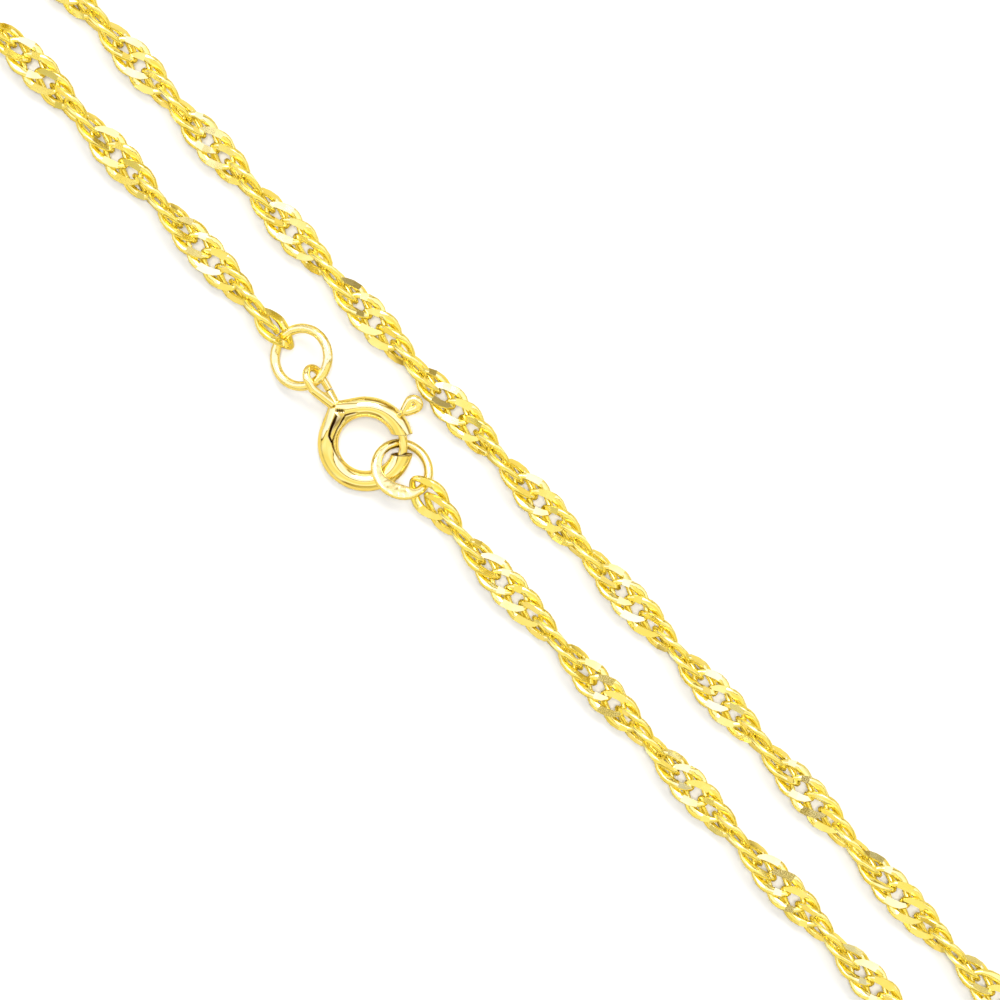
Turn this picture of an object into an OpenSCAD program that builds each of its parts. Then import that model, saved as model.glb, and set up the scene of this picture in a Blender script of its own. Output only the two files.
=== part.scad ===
// Singapore chain necklace closed by a spring ring clasp, in millimetres.
// It lies on a level surface at z = 0 as one closed loop, with the neck opening in its middle.
// +X runs along the two straight stretches, from the short bend to the wide one.

/* [Chain] */
// Width across the lobes of the twisted chain
chain_w = 2.17; // [2.10:0.01:2.20]
// Distance from one link to the next along the chain
link_pitch = 1.18; // [1.17:0.01:1.19]
// Turn from one link to the next, in degrees
link_turn = 29; // [28:1:30]
// Length of a link along the middle of its wire
link_l = 2.74; // [2.72:0.01:2.76]
// Width of a link along the middle of its wire
link_w = 1.78; // [1.76:0.01:1.80]
// How far the long sides of a link bend out of its plane
link_bend = 0.12; // [0.10:0.01:0.14]
// Wire of a link
link_wire = 0.30; // [0.20:0.01:0.32]

/* [Rings] */
// Diameter of the jump ring along the middle of its wire
jump_d = 3.34; // [3.30:0.01:3.36]
// Wire of the jump ring
jump_wire = 0.56; // [0.45:0.01:0.58]
// Diameter of the connector ring along the middle of its wire
connector_d = 3.18; // [3.14:0.01:3.20]
// Wire of the connector ring
connector_wire = 0.52; // [0.45:0.01:0.53]
// Width of the hammered pad on the connector ring
pad_w = 0.90; // [0.70:0.01:0.95]
// Thickness of the hammered pad
pad_t = 0.34; // [0.25:0.01:0.40]

/* [Clasp] */
// Diameter of the clasp along the middle of its tube
clasp_d = 4.36; // [4.34:0.01:4.38]
// Outer diameter of the clasp's tube
tube_d = 1.18; // [1.14:0.01:1.20]
// Bore of the clasp's tube
tube_bore = 0.80; // [0.74:0.01:0.86]
// Width of the mouth sawn through the tube
mouth_w = 1.20; // [1.00:0.05:1.30]
// Width of the slot that the lever slides in
slot_w = 0.50; // [0.44:0.01:0.54]
// Thickness of the pinched corner where the eye is soldered on
corner_t = 0.70; // [0.50:0.05:0.90]
// Wire of the eye
eye_wire = 0.40; // [0.34:0.01:0.42]
// Diameter of the trigger's tongue
tongue_d = 0.48; // [0.40:0.01:0.54]
// Wire of the lever's loop
lever_wire = 0.42; // [0.34:0.01:0.44]
// Turn of the trigger that opens the mouth, in degrees
trigger_travel = 37; // [30:1:37]

/* [Hidden] */
// The chain's route seen from above: it leaves the jump ring, takes the short bend,
// runs back past the clasp, takes the wide bend and comes home to the connector ring
route = [
    [-47.1, -2], [-55, -2], [-62, -2], [-67.5, -2.3], [-72, -3.7], [-76, -6.6], [-80.5, -9.2], [-85.5, -10],
    [-90.5, -8.6], [-94, -4.8], [-95, 0], [-94, 4.8], [-90.5, 8.6], [-85.5, 10], [-80.5, 9.2], [-76, 6.6],
    [-72, 3.9], [-67.5, 2.6], [-62, 2.5], [-56, 2.5], [-43, 2.5], [-30, 2.5], [-17, 2.5], [-4, 2.5],
    [9, 2.5], [18, 3.2], [26, 6], [33, 11], [40, 17.5], [47.5, 23.5], [56, 28], [65.5, 30],
    [75, 28.5], [83.5, 23.7], [90, 16.8], [94, 8.6], [95, 0], [94, -8.6], [90, -16.8], [83.5, -23.7],
    [75, -28.5], [65.5, -30], [56, -28], [47.5, -23.5], [40, -17.5], [33, -11], [26, -6], [18, -3],
    [9, -2.2], [-2, -2.2], [-14, -2.2], [-25.8, -2.2]
];
// Longest stretch of the chain between two rings of its surface
ring_step = 7.1;
// Sides of the chain's surface, with one flat side down
chain_sides = 8;
// Stations round a link and sides of its wire
link_stations = 16;
wire_sides = 6;
// Links at each end that are modelled one by one
end_links = 3;

// Place of the first link at each end, and its turn about the chain
jump_link_pos = [-43.03, -2.02, 1.065];
jump_link_turn = -49.7;
connector_link_pos = [-29.88, -2.02, 1.07];
connector_link_turn = 22.5;

// Place of each ring and its slope: how steeply it rises, and towards which way seen from above
jump_pos = [-40.80, -1.98, 1.32];
jump_slope = [22.5, 43];
connector_pos = [-32.12, -2.065, 1.01];
connector_slope = [25.2, 278];
pad_from = 268;
pad_turn = 60;

// Place and slope of the clasp, then places within its own plane
clasp_pos = [-34.62, -2.624, 1.016];
clasp_slope = [11, 127.5];
clasp_r = clasp_d / 2;
tube_r = tube_d / 2;
mouth_dir = 47.5;
corner_dir = 177.5;
corner_r = 3.16;
corner_flank = acos((clasp_r + tube_r) / corner_r);
bore_margin = 15;
slot_rise = 20;
slot_spare = 8.5;

// The eye: a hook of two strands and a round end
eye_pos = [-4.351, 0.329, 0.081];
eye_dir = 167.5;
eye_roll = 55.3;
eye_half_w = 0.592;
eye_bend_at = 0.528;
eye_cut_at = -0.60;
eye_stub_at = -0.86;
eye_root_at = -0.45;
eye_root = [-2.85, 0.08, 0.12];

// The trigger: tongue ends measured from the mouth, then the lever
tongue_from = -22;
tongue_to = 45;
lever_dir = 92;
lever_eye_dir = 88.5;
lever_eye_r = 3.70;
lever_eye_d = 0.80;
lever_eye_z = 0.58;
neck_d = 0.34;
// The lever's slot reaches from the mouth to a little past the opened lever
slot_turn = lever_dir - mouth_dir + trigger_travel + slot_spare;

cut_depth = 2;
round_fn = 64;
wire_fn = 32;

// A smooth curve through the route's points: cubic pieces whose direction at a point
// is that of the line between its two neighbours
last_point = len(route) - 1;
function chord(i) = norm(route[i + 1] - route[i]);
function heading(i) =
    i == 0 ? (route[1] - route[0]) / chord(0) :
    i == last_point ? (route[i] - route[i - 1]) / chord(i - 1) :
    (route[i + 1] - route[i - 1]) / (chord(i - 1) + chord(i));
function along(i, t) =
    (2 * t * t * t - 3 * t * t + 1) * route[i]
    + (t * t * t - 2 * t * t + t) * chord(i) * heading(i)
    + (3 * t * t - 2 * t * t * t) * route[i + 1]
    + (t * t * t - t * t) * chord(i) * heading(i + 1);
function pieces(i) = ceil(chord(i) / ring_step);
centre_line = concat(
    [for (i = [0:last_point - 1]) for (k = [0:pieces(i) - 1]) along(i, k / pieces(i))],
    [route[last_point]]
);
last_ring = len(centre_line) - 1;

// The level direction across the chain at a ring
function across(i) =
    let (d = centre_line[min(i + 1, last_ring)] - centre_line[max(i - 1, 0)])
    [-d.y, d.x] / norm(d);

// A closed surface from rows of points: each row is joined to the next, with a flat end on both
function skin_faces(rows, sides) = concat(
    [for (i = [0:rows - 2]) for (j = [0:sides - 1])
        [i * sides + j, i * sides + (j + 1) % sides,
         (i + 1) * sides + (j + 1) % sides, (i + 1) * sides + j]],
    [[for (j = [0:sides - 1]) sides - 1 - j]],
    [[for (j = [0:sides - 1]) (rows - 1) * sides + j]]
);

// A closed surface from rows of points round a ring: the last row is joined to the first
function loop_faces(rows, sides) =
    [for (i = [0:rows - 1]) for (j = [0:sides - 1])
        [i * sides + j, i * sides + (j + 1) % sides,
         ((i + 1) % rows) * sides + (j + 1) % sides, ((i + 1) % rows) * sides + j]];

// The envelope of the twisted chain between its end links
module chain() {
    apothem = chain_w / 2;
    radius = apothem / cos(180 / chain_sides);
    points = [
        for (i = [0:last_ring]) for (j = [0:chain_sides - 1])
        let (a = (j + 0.5) * 360 / chain_sides, s = across(i), c = centre_line[i])
        [c.x + radius * cos(a) * s.x, c.y + radius * cos(a) * s.y, apothem + radius * sin(a)]
    ];
    color("gold") polyhedron(points, skin_faces(last_ring + 1, chain_sides), convexity = 10);
}

// One curb link: an oval of wire whose long sides bend up and down by link_bend
function link_point(u) = [link_l / 2 * cos(u), link_w / 2 * sin(u), -link_bend * sin(2 * u)];
function link_heading(u) =
    let (d = [-link_l / 2 * sin(u), link_w / 2 * cos(u), -2 * link_bend * cos(2 * u)]) d / norm(d);
function upward(t) = let (b = [0, 0, 1] - t.z * t) b / norm(b);

module link() {
    points = [
        for (i = [0:link_stations - 1]) for (j = [0:wire_sides - 1])
        let (
            u = i * 360 / link_stations,
            a = j * 360 / wire_sides,
            t = link_heading(u),
            b = upward(t)
        )
        link_point(u) + link_wire / 2 * (cos(a) * cross(t, b) + sin(a) * b)
    ];
    color("gold") polyhedron(points, loop_faces(link_stations, wire_sides), convexity = 6);
}

// The links that follow the jump ring, counted away from it
module jump_link(n) {
    translate(jump_link_pos + [-link_pitch * n, 0, 0]) rotate([jump_link_turn - link_turn * n, 0, 0]) link();
}

// The links that follow the connector ring, counted away from it
module connector_link(n) {
    translate(connector_link_pos + [link_pitch * n, 0, 0])
        rotate([connector_link_turn + link_turn * n, 0, 0]) link();
}

// Tips the level plane up by slope[0] degrees towards slope[1]
module tipped(slope) {
    rotate([0, 0, slope[1]]) rotate([0, -slope[0], 0]) rotate([0, 0, -slope[1]]) children();
}

// A round bar bent along a circle of diameter d, from one angle through a turn
module bent_bar(d, wire, from = 0, turn = 360) {
    rotate([0, 0, from]) rotate_extrude(angle = turn, $fn = round_fn)
        translate([d / 2, 0]) circle(d = wire, $fn = wire_fn);
}

// A straight bar from point a to point b
module bar(a, b, wire) {
    v = b - a;
    translate(a) rotate([0, acos(v.z / norm(v)), atan2(v.y, v.x)])
        cylinder(d = wire, h = norm(v), $fn = wire_fn);
}

module jump_ring() {
    color("gold") translate(jump_pos) tipped(jump_slope) bent_bar(jump_d, jump_wire);
}

// A wire ring with one stretch hammered flat, wider towards the middle of the ring
module connector_ring() {
    outer = connector_d / 2 + connector_wire / 2;
    color("gold") translate(connector_pos) tipped(connector_slope) {
        bent_bar(connector_d, connector_wire);
        rotate([0, 0, pad_from]) rotate_extrude(angle = pad_turn, $fn = round_fn)
            translate([outer - pad_w, -pad_t / 2]) square([pad_w, pad_t]);
    }
}

// The tube's ring and the pinched corner that the eye is soldered to
module clasp_outside() {
    flank_r = clasp_r + tube_r;
    bent_bar(clasp_d, tube_d);
    translate([0, 0, -corner_t / 2]) linear_extrude(height = corner_t)
        polygon([
            corner_r * [cos(corner_dir), sin(corner_dir)],
            flank_r * [cos(corner_dir + corner_flank), sin(corner_dir + corner_flank)],
            clasp_r * [cos(corner_dir + corner_flank), sin(corner_dir + corner_flank)],
            clasp_r * [cos(corner_dir), sin(corner_dir)],
            clasp_r * [cos(corner_dir - corner_flank), sin(corner_dir - corner_flank)],
            flank_r * [cos(corner_dir - corner_flank), sin(corner_dir - corner_flank)]
        ]);
}

// The sawn mouth, the bore for tongue and spring, and the lever's slot
module clasp_cuts() {
    rotate([0, 0, mouth_dir]) translate([0, -mouth_w / 2, -cut_depth])
        cube([clasp_d, mouth_w, 2 * cut_depth]);
    bent_bar(clasp_d, tube_bore, corner_dir + bore_margin, 360 - 2 * bore_margin);
    rotate([0, 0, mouth_dir]) rotate_extrude(angle = slot_turn, $fn = round_fn)
        translate([clasp_r, 0]) rotate(slot_rise) translate([0, -slot_w / 2]) square([tube_d, slot_w]);
}

// The hook that holds the jump ring: one strand is soldered to the corner, and the other is cut off
// just before a stub that stands up from the same corner
module clasp_eye() {
    along_eye = [cos(eye_dir), sin(eye_dir), 0];
    across_eye = [-sin(eye_dir) * cos(eye_roll), cos(eye_dir) * cos(eye_roll), sin(eye_roll)];
    root_knee = eye_pos + eye_root_at * along_eye + eye_half_w * across_eye;
    translate(eye_pos) rotate([eye_roll, 0, eye_dir]) {
        translate([eye_bend_at, 0, 0]) bent_bar(2 * eye_half_w, eye_wire, -90, 180);
        bar([eye_cut_at, -eye_half_w, 0], [eye_bend_at, -eye_half_w, 0], eye_wire);
        bar([eye_root_at, eye_half_w, 0], [eye_bend_at, eye_half_w, 0], eye_wire);
    }
    translate(root_knee) sphere(d = eye_wire, $fn = wire_fn);
    bar(root_knee, eye_root, eye_wire);
    bar(eye_root, eye_pos + eye_stub_at * along_eye - eye_half_w * across_eye, eye_wire);
}

module clasp_body() {
    color("gold") translate(clasp_pos) tipped(clasp_slope) {
        difference() {
            clasp_outside();
            clasp_cuts();
        }
        clasp_eye();
    }
}

// The sliding tongue that closes the mouth, with the thumb lever on it
module clasp_trigger() {
    neck_foot = [clasp_r * cos(lever_dir), clasp_r * sin(lever_dir), 0];
    eye_middle = [lever_eye_r * cos(lever_eye_dir), lever_eye_r * sin(lever_eye_dir), lever_eye_z];
    neck_run = eye_middle - neck_foot;
    neck_head = eye_middle - lever_eye_d / 2 * neck_run / norm(neck_run);
    color("gold") translate(clasp_pos) tipped(clasp_slope) {
        bent_bar(clasp_d, tongue_d, mouth_dir + tongue_from, tongue_to - tongue_from);
        bar(neck_foot, neck_head, neck_d);
        translate(eye_middle) bent_bar(lever_eye_d, lever_wire);
    }
}

chain();
jump_link(0);  // jump_link_1
jump_link(1);  // jump_link_2
jump_link(end_links - 1);  // jump_link_3
connector_link(0);  // connector_link_1
connector_link(1);  // connector_link_2
connector_link(end_links - 1);  // connector_link_3
jump_ring();
connector_ring();
clasp_body();
clasp_trigger();
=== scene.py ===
"""A singapore chain necklace with its spring ring clasp, lying closed on a pale surface."""
import bpy
import numpy as np
from mathutils import Matrix, Vector


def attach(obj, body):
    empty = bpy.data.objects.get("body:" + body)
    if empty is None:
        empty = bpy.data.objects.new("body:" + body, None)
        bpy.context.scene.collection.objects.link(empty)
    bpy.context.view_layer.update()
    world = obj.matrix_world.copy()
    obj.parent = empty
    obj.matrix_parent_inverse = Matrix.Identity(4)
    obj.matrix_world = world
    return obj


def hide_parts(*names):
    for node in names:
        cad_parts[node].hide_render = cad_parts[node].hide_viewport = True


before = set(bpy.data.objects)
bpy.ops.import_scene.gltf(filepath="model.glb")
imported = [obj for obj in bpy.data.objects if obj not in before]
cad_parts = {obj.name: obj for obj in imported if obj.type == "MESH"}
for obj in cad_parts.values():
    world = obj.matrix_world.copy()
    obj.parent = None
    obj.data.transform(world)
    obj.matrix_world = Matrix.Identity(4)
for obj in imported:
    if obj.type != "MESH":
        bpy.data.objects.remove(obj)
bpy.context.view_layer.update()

# Sizes are in millimetres up to the point where a mesh is made, and named angles are in degrees
MM = 0.001
UPWARD = np.array([0.0, 0.0, 1.0])

# The photograph's frame: its middle on the necklace, its width, and its turn about the upward axis.
# The camera looks down on it from its height, and sees what lies within its reach
VIEW_MIDDLE = (-27.0, 0.9)
VIEW_WIDTH = 57.8
VIEW_TURN = 47.5
CAMERA_HEIGHT = 450.0
CAMERA_REACH = (10.0, 10000.0)
SENSOR_WIDTH = 36.0

# The chain's route seen from above, from the jump ring round to the connector ring: out along the
# clasp's run, round the small bend, back along the plain run, round the wide bend and home
ROUTE = [
    (-47.1, -2), (-55, -2), (-62, -2), (-67.5, -2.3), (-72, -3.7), (-76, -6.6),
    (-80.5, -9.2), (-85.5, -10), (-90.5, -8.6), (-94, -4.8), (-95, 0), (-94, 4.8),
    (-90.5, 8.6), (-85.5, 10), (-80.5, 9.2), (-76, 6.6), (-72, 3.9), (-67.5, 2.6),
    (-62, 2.5), (-56, 2.5), (-43, 2.5), (-30, 2.5), (-17, 2.5), (-4, 2.5),
    (9, 2.5), (18, 3.2), (26, 6), (33, 11), (40, 17.5), (47.5, 23.5),
    (56, 28), (65.5, 30), (75, 28.5), (83.5, 23.7), (90, 16.8), (94, 8.6),
    (95, 0), (94, -8.6), (90, -16.8), (83.5, -23.7), (75, -28.5), (65.5, -30),
    (56, -28), (47.5, -23.5), (40, -17.5), (33, -11), (26, -6), (18, -3),
    (9, -2.2), (-2, -2.2), (-14, -2.2), (-25.8, -2.2),
]
# The longest step along the curve through these points, and the height of the chain's middle
ROUTE_STEP = 0.1
CHAIN_HEIGHT = 1.085
# The first and the last link: place, and turn about the route. Then the turn from a link to the next
JUMP_LINK = (-43.03, -2.02, 1.065)
JUMP_LINK_TURN = 49.7
CONNECTOR_LINK = (-29.88, -2.02, 1.07)
CONNECTOR_LINK_TURN = -22.5
LINK_TURN = 29.0
# How many links at each end are pieces of their own
END_LINKS = 3

# Where the twisted band stands on edge, read off the photograph along each straight run, in the order
# in which the route comes past
EDGE_ON_CLASP_RUN = (-53.0, -59.7)
EDGE_ON_PLAIN_RUN = (-62.7, -56.5, -49.9, -43.2, -36.2, -28.7, -21.5, -13.6, -6.2, 1.3, 10.0)
EDGE_ON_HOME_RUN = (4.6, -3.2, -10.9, -18.5)

# One link: half length and half width along the middle of its wire, and its curb bend
PITCH = 1.18
LINK_HALF_LENGTH = 1.37
LINK_HALF_WIDTH = 0.82
LINK_STRAIGHTNESS = 0.04
LINK_BEND = 0.13
# Its wire: half width at the ends and along the sides, half thickness, and how square its section is
WIRE_AT_ENDS = 0.165
WIRE_AT_SIDES = 0.2565
WIRE_THICK = 0.165
SQUARENESS_AT_ENDS = 2.2
SQUARENESS_AT_SIDES = 5.0
# Its flat cuts: height over the link's middle, random slope, and the lowest and highest share of the
# wire's half thickness at which a corner of the section may lie
FLAT_CUT = 0.205
FLAT_TILT = 0.035
CORNER_SHARES = (0.3, 0.97)
# Points of its section, four above the wire's middle and four below
LINK_SIDES = 8
# How far a link may be turned about the route and swung sideways
TWIST_PLAY = 1.2
SWAY_PLAY = 1.0
# Angles of the sections in each quarter of a link, closer together at the ends of its flat cuts: for
# the links at the ends of the chain, in the photograph's view and in the bends beyond it
END_QUARTER = (0, 7, 13, 23, 34, 45, 56, 67, 77, 83)
VIEW_QUARTER = (0, 12, 34, 56, 78)
BEND_QUARTER = (0, 15, 45, 75)
# How far from the middle of the view the finer links reach, in widths of the view
NEAR_VIEW = 0.75
# Where the random draws of each piece start. The end links count on from theirs
JUMP_SIDE_SEED = 20
CONNECTOR_SIDE_SEED = 30
VIEW_SEED = 1
BEND_SEED = 2

# Rings: middle, radius, wire and slope (how steeply the ring rises, and towards which way). A mesh's
# two numbers are its sections along the wire and the points of each
JUMP_RING = dict(middle=(-40.80, -1.98, 1.32), radius=1.67, wire=0.56, slope=(22.5, 43.0))
JUMP_RING_MESH = (160, 36)
JUMP_RING_WEAR = 0.10
JUMP_RING_WORN_WAY = 60.0
DENT_DEPTH = 0.028
DENT_RATES = (7, 3)
DENT_SEED = 5
# Share of the dents' depth on the side that isn't worn
DENT_ELSEWHERE = 0.35
CONNECTOR_RING = dict(middle=(-32.12, -2.065, 1.01), radius=1.59, wire=0.52, slope=(25.2, 278.0))
CONNECTOR_RING_MESH = (220, 40)
# The hammered pad: ways round the ring from its start, and how far the wire has become pad there, eased
# over this many sections to each side
PAD_START = 170.0
PAD_WAYS = (0, 30, 75, 98, 120, 140, 160, 175, 360)
PAD_SHARES = (0, 0.12, 0.30, 0.75, 1.0, 1.0, 0.7, 0, 0)
PAD_EASING = 6
PAD_WIDTH = 0.90
PAD_THICK = 0.34
PAD_SQUARENESS = 2.5
HAMMER_DEPTH = 0.018
HAMMER_RATES = (9, 2)
HAMMER_SEED = 11

# The clasp: its middle and its slope. What follows lies in its own plane, and a DIR is a way round it
CLASP = dict(middle=(-34.62, -2.624, 1.016), slope=(11.0, 127.5))
CLASP_RADIUS = 2.18
CLASP_SHARP_ANGLE = 35.0
TUBE_RADIUS = 0.59
TUBE_MESH = (340, 88)
# The bore's radius as a share of the tube's
BORE_SHARE = 0.60
MOUTH_DIR = 47.5
MOUTH_HALF = 0.60
# The corner: its way and its distance from the middle, and the power by which the pinch grows to it
CORNER_DIR = 177.5
CORNER_RADIUS = 3.16
CORNER_HALF_THICK = 0.40
CORNER_PINCH = 1.5
# The lever's slot: its place round the tube, half its width, and its end, counted from the mouth
SLOT_RISE = 20.0
SLOT_HALF = 0.25
SLOT_END = 90.0
# Where the tube's grid is finer: shares of its rows and of its columns against shares of the angles
ROW_KNOTS = ((0, 0.22, 0.72, 1), (0, 0.27, 0.55, 1))
COLUMN_KNOTS = ((0, 0.13, 0.55, 1), (0, 0.17, 0.41, 1))

# The eye, a wire bent round a bow. An AT is a place along it, outward from its middle, a SIDE is a
# share of its half width, and the wire swells to the strand's over a stretch of its length
EYE = dict(middle=(-4.351, 0.329, 0.081), turn=167.5, roll=55.3, half_width=0.592, bend_at=0.528)
EYE_WIRE = 0.43
EYE_STRAND_WIRE = 0.54
EYE_STRAND_FROM = (0.50, 0.78)
EYE_CUT_AT = -0.60
EYE_STUB_AT = -0.645
EYE_STUB_SIDE = 0.85
EYE_SOLDER_AT = -0.55
EYE_SOLDER_SIDE = 0.10
EYE_SOLDER_WIRE = (0.50, 0.24)
EYE_KNEE_AT = 0.0
EYE_ROOT = (-2.99, 0.16, 0.16)
EYE_STUB_ROOT = (-2.88, 0.30, 0.10)
EYE_BOW_POINTS = 40
EYE_STEP = 0.04
EYE_EASING = 6

# Lines pressed into the tube where it was folded shut. Each has its ways round the clasp, its places
# round the tube's section and its depths there, and its width
SEAMS = (
    dict(
        ways=(181, 190, 200, 213, 224, 249, 282),
        places=(74, 82, 88, 94, 122, 144, 176),
        depths=(0.10, 0.19, 0.20, 0.17, 0.15, 0.07, 0.0),
        width=0.060,
    ),
    dict(
        ways=(168, 178, 188, 206, 224),
        places=(98, 112, 124, 127, 122),
        depths=(0.0, 0.14, 0.13, 0.11, 0.13),
        width=0.050,
    ),
    dict(
        ways=(150, 156, 166, 172),
        places=(112, 110, 104, 99),
        depths=(0.0, 0.10, 0.12, 0.06),
        width=0.045,
    ),
)
# The row of teeth that the crimping tool left, and the pit under the eye's root
CRIMP_MIDDLE = (-2.46, 0.28)
CRIMP_SIZE = (0.50, 0.17)
CRIMP_PITCH = 0.125
CRIMP_DEPTH = 0.15
CRIMP_TEETH_SHARE = 0.4
ROOT_PIT = (-2.93, 0.17)
ROOT_PIT_RADIUS = 0.07
ROOT_PIT_DEPTH = 0.16
# Painted shade, with some dirt in the hollows: full at hollows of this depth, this much in the bore and
# on the sawn rims, and full on the wires' sawn ends over this many sections
HOLLOW_SHADE_AND_DIRT_DEPTH = 0.10
BORE_SHADE = 0.6
RIM_SHADE = 0.85
CUT_RINGS = 2
# A patch of painted shade beside the crimp, where the tube is folded: its middle and half size, round
# the clasp and round the tube
FOLD_SHADE = dict(way=188.0, place=97.0, half_way=13.0, half_place=15.0, strength=0.75)

# The tongue, both ways from the mouth's middle, and the looped thumb lever on its neck
TONGUE_RADIUS = 0.24
TONGUE_FROM = -22.0
TONGUE_TO = 45.0
TONGUE_POINTS = 80
# The lever's foot and its loop: ways round, distance out and height, then the teardrop's radius, the
# length of its tip and the share by which it narrows there
LEVER_DIR = 92.0
LEVER_LOOP_DIR = 88.5
LEVER_LOOP_AT = 3.70
LEVER_LOOP_Z = 0.545
LEVER_LOOP_RADIUS = 0.295
LEVER_LOOP_TIP = 0.34
LEVER_LOOP_NARROWING = 0.4
LEVER_LOOP_POINTS = 72
LEVER_WIRE = 0.52
LEVER_SIDES = 24
NECK_WIRE = 0.38
NECK_STEP = 0.05
# Wires of the eye and the tongue: points of a section, share of the radius left at the ends, and how
# far the ends are rounded, in radii
WIRE_SIDES = 28
WIRE_END_SHARE = 0.55
SAWN_END = 0.25
NECK_END = 0.3
ROUND_END = 0.8

# Finish of the gold: its two tones, how fine its soft patches and its polishing lines are, how dull it
# is and how strong its relief
CHAIN_FINISH = dict(
    bright=(1.0, 0.96, 0.64, 1), deep=(1.0, 0.88, 0.28, 1),
    patches=700.0, lines=9.0, dullness=0.03, relief=0.15,
)
RING_FINISH = dict(
    bright=(1.0, 0.90, 0.50, 1), deep=(1.0, 0.85, 0.36, 1),
    patches=500.0, lines=6.0, dullness=0.03, relief=0.35,
)
CLASP_FINISH = dict(
    bright=(1.0, 0.89, 0.48, 1), deep=(1.0, 0.86, 0.38, 1),
    patches=300.0, lines=5.0, dullness=0.02, relief=0.08,
)
# What the three share: the brown of dirt and painted shade, the values of the noise between which a
# patch fades in, the share of the tone that is a link's own, and how far the polishing lines are drawn
# out along the wire
SHADE_AND_DIRT_COLOUR = (0.16, 0.075, 0.012, 1)
PATCH_EDGES = (0.35, 0.65)
TONE_SHARE = 0.5
LINE_STRETCH = (0.9, 60.0, 1.0)
# What the lines, a lack of polish and each mark add to the roughness
LINES_ROUGHEN = 0.08
UNPOLISHED_ROUGHENS = 0.04
MARKS_ROUGHEN = (("Hammered", 0.16), ("Shade_and_dirt", 0.35), ("Polish_and_sheen", -UNPOLISHED_ROUGHENS))
# The relief: its depth, the part in it of the lines and of the hammer blows, and how fine the blows are
RELIEF_DEPTH = 0.02
LINES_PART = 0.35
BLOWS_PART = 5.0
BLOWS_SCALE = 3500.0

# The floor: its colour, and the darker golden tone painted on it for the metal's reflections alone, a
# painted reflection
FLOOR_HALF = 3000.0
FLOOR_COLOUR = (0.95, 0.95, 0.96, 1)
PAINTED_FLOOR_REFLECTION = (0.70, 0.58, 0.24, 1)
FLOOR_ROUGHNESS = 0.9
FLOOR_SHINE = 0.1

# The room that the metal reflects. One ramp runs across it, from the dim golden side at -1 to the
# window side at +1, and one runs up from the floor's edge at 0 to overhead at 1
WINDOW_SIDE = (-0.737, 0.676)
ROOM_STRENGTH = 1.0
ROOM_PATCH = 2.6
ROOM_UNEVEN = 0.10
ACROSS_STOPS = (
    (-1.00, (1.05, 0.90, 0.40)),
    (-0.87, (0.45, 0.30, 0.06)),
    (-0.81, (1.22, 1.18, 0.95)),
    (-0.66, (1.08, 0.96, 0.48)),
    (-0.45, (1.02, 0.86, 0.34)),
    (-0.30, (1.15, 1.08, 0.74)),
    (-0.15, (1.05, 0.88, 0.36)),
    (-0.115, (0.10, 0.055, 0.01)),
    (-0.095, (0.10, 0.055, 0.01)),
    (-0.075, (0.95, 0.72, 0.20)),
    (-0.06, (1.22, 1.20, 1.30)),
    (0.08, (1.35, 1.38, 1.90)),
    (0.26, (1.08, 1.07, 1.20)),
    (0.45, (1.30, 1.32, 1.80)),
    (0.60, (1.15, 1.10, 1.00)),
    (0.70, (0.50, 0.36, 0.10)),
    (0.76, (0.40, 0.27, 0.06)),
    (0.84, (1.25, 1.22, 1.20)),
    (1.00, (1.15, 1.08, 0.80)),
)
UPWARD_STOPS = (
    (0.00, 0.95),
    (0.02, 0.35),
    (0.06, 0.35),
    (0.10, 0.95),
    (0.17, 0.60),
    (0.22, 0.60),
    (0.32, 0.95),
    (0.50, 1.00),
)
# What lights the floor: a soft window, a wide lamp overhead and a weak slanting one, in a dim pale
# room. Of these the metal shows the window alone
WINDOW = dict(distance=500.0, height=750.0, size=450.0, power=4.0, colour=(1.0, 0.99, 0.96))
OVERHEAD_LAMP = dict(heading=(0, 0, -1), spread=16.0, power=2.05, colour=(0.97, 0.985, 1.0))
SLANTING_LAMP = dict(heading=(-0.06, -0.56, -1), spread=24.0, power=0.76, colour=(1.0, 0.93, 0.84))
DIM_ROOM_COLOUR = (0.95, 0.97, 1.0, 1)
DIM_ROOM_STRENGTH = 0.15


def unit(v):
    """Each row divided by its own length."""
    return v / np.linalg.norm(v, axis=-1, keepdims=True)


def level(angle):
    """The level unit vector (cos a, sin a, 0) for each angle in radians."""
    return np.stack([np.cos(angle), np.sin(angle), 0 * angle], -1)


def round_angles(count):
    """Angles in radians that share one turn evenly."""
    return np.arange(count) * 2 * np.pi / count


def signed_power(v, power):
    """|v| to a power, with the sign of v."""
    return np.sign(v) * np.abs(v) ** power


def tipped(points, slope, middle):
    """The level plane tipped up by slope[0] degrees towards slope[1], then carried to middle."""
    a, b = np.radians(slope)
    rise = np.array([[np.cos(a), 0, -np.sin(a)], [0, 1, 0], [np.sin(a), 0, np.cos(a)]])
    turn = np.array([[np.cos(b), -np.sin(b), 0], [np.sin(b), np.cos(b), 0], [0, 0, 1]])
    return points @ (turn @ rise @ turn.T).T + np.array(middle)


def wave_sum(x, y, seed):
    """A smooth wandering value: a third of the sum of sin(k x + p) sin(r y + q) / sqrt(k).

    Here k goes from 1 to 9, the rate r is a seeded whole number up to k + 1, and p and q are seeded.
    """
    rng = np.random.default_rng(seed)
    count = 9
    total = np.zeros(np.broadcast(x, y).shape)
    for k in range(1, count + 1):
        phase = rng.uniform(0, 2 * np.pi, 2)
        rate = rng.integers(1, k + 2)
        total = total + np.sin(k * x + phase[0]) * np.sin(rate * y + phase[1]) / np.sqrt(k)
    return total / np.sqrt(count)


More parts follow.
